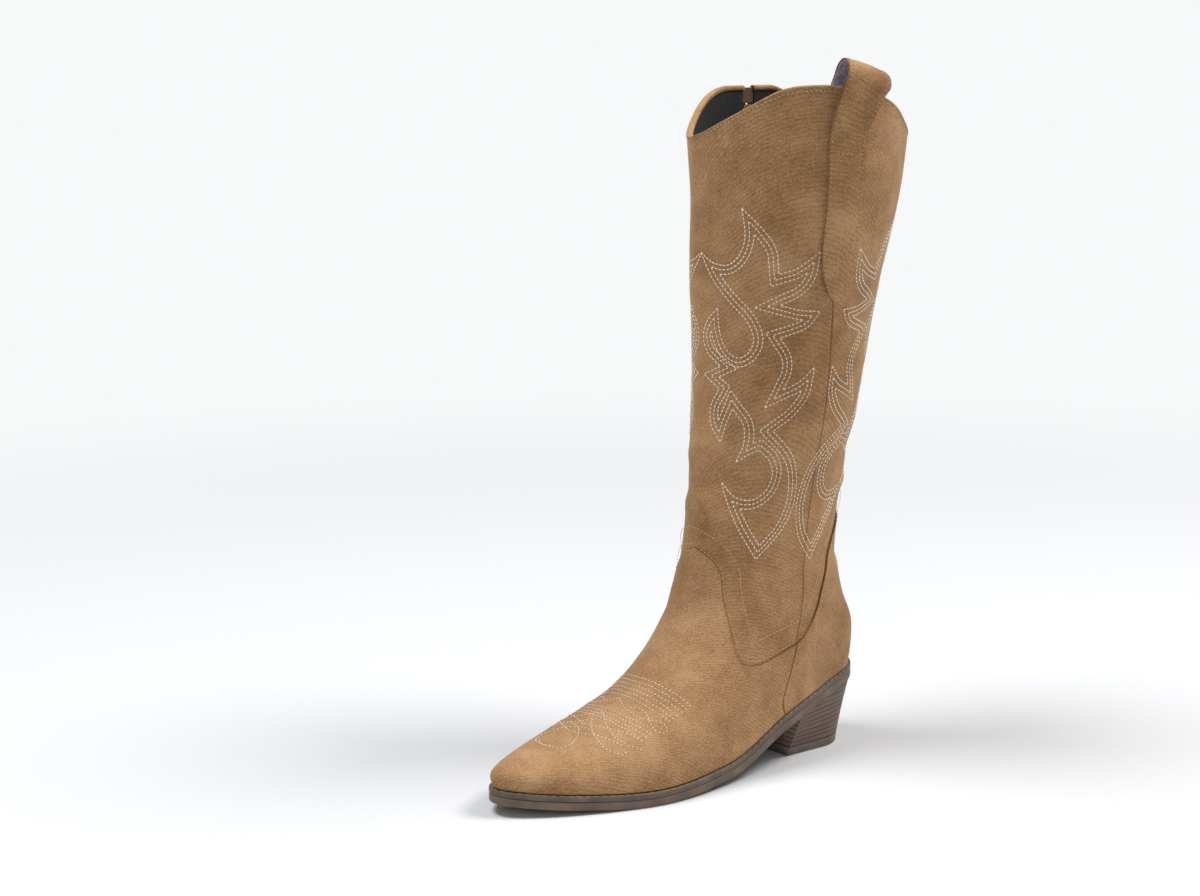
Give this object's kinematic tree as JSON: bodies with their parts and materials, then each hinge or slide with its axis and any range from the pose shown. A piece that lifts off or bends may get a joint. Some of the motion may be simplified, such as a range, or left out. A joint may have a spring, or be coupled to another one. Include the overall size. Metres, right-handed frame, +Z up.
{
  "type": "cowboy boot",
  "caption": "Tall pull-on western boot with a stacked block heel, a pointed toe, a scalloped rim with one pull strap and a full-length zip on the inner side.",
  "frame": {"origin": "middle of the heel's tread, on the floor", "axes": "+Z up along the shaft, -Y towards the toe, +X towards the outer side of this left boot"},
  "size_m": [0.1316, 0.3064, 0.4441],
  "materials": {
    "tan_suede": "napped faux suede",
    "black_lining": "smooth knit",
    "strap_backing": "pebbled cloth",
    "brown_rubber": "matt",
    "welt_rubber": "matt, stitched",
    "stacked_heel": "imitation stacked leather",
    "heel_rubber": "matt",
    "steel": "plain",
    "fibre_board": "pressed fibre",
    "cork": "cork",
    "stiffener": "thermoplastic sheet",
    "zip_tape": "woven tape",
    "zip_coil": "nylon coil",
    "zip_metal": "antique brass"
  },
  "bodies": {
    "boot": {"outsole": "brown_rubber", "welt": "welt_rubber", "heel_block": "stacked_heel", "heel_top_piece": "heel_rubber", "heel_screw": "steel", "heel_nail_1": "steel", "heel_nail_2": "steel", "heel_nail_3": "steel", "heel_nail_4": "steel", "shank": "steel", "bottom_filler": "cork", "insole_board": "fibre_board", "sock_liner": "black_lining", "vamp": "tan_suede", "counter": "tan_suede", "toe_puff": "stiffener", "counter_stiffener": "stiffener", "vamp_lining": "black_lining", "shaft_front": "tan_suede", "shaft_back": "tan_suede", "lining_front": "black_lining", "lining_back": "black_lining", "pull_strap": "tan_suede", "pull_strap_lining": "strap_backing", "zip_tape_front": "zip_tape", "zip_tape_back": "zip_tape", "zip_teeth_front": "zip_coil", "zip_teeth_back": "zip_coil", "zip_top_stop_front": "zip_metal", "zip_top_stop_back": "zip_metal", "zip_bottom_stop": "zip_metal"},
    "zip_slider": {"zip_slider": "zip_metal"},
    "zip_puller": {"zip_puller": "zip_metal"}
  },
  "joints": [
    {"name": "zip_slide", "type": "slide", "parent": "boot", "child": "zip_slider", "axis": [-0.0082, -0.0552, -0.9984], "range_m": [0, 0.15]},
    {"name": "puller_swing", "type": "hinge", "parent": "zip_slider", "child": "zip_puller", "pos_m": [-0.04029, -0.01494, 0.40805], "axis": [0, 1, 0], "range_deg": [-2, 165]}
  ]
}
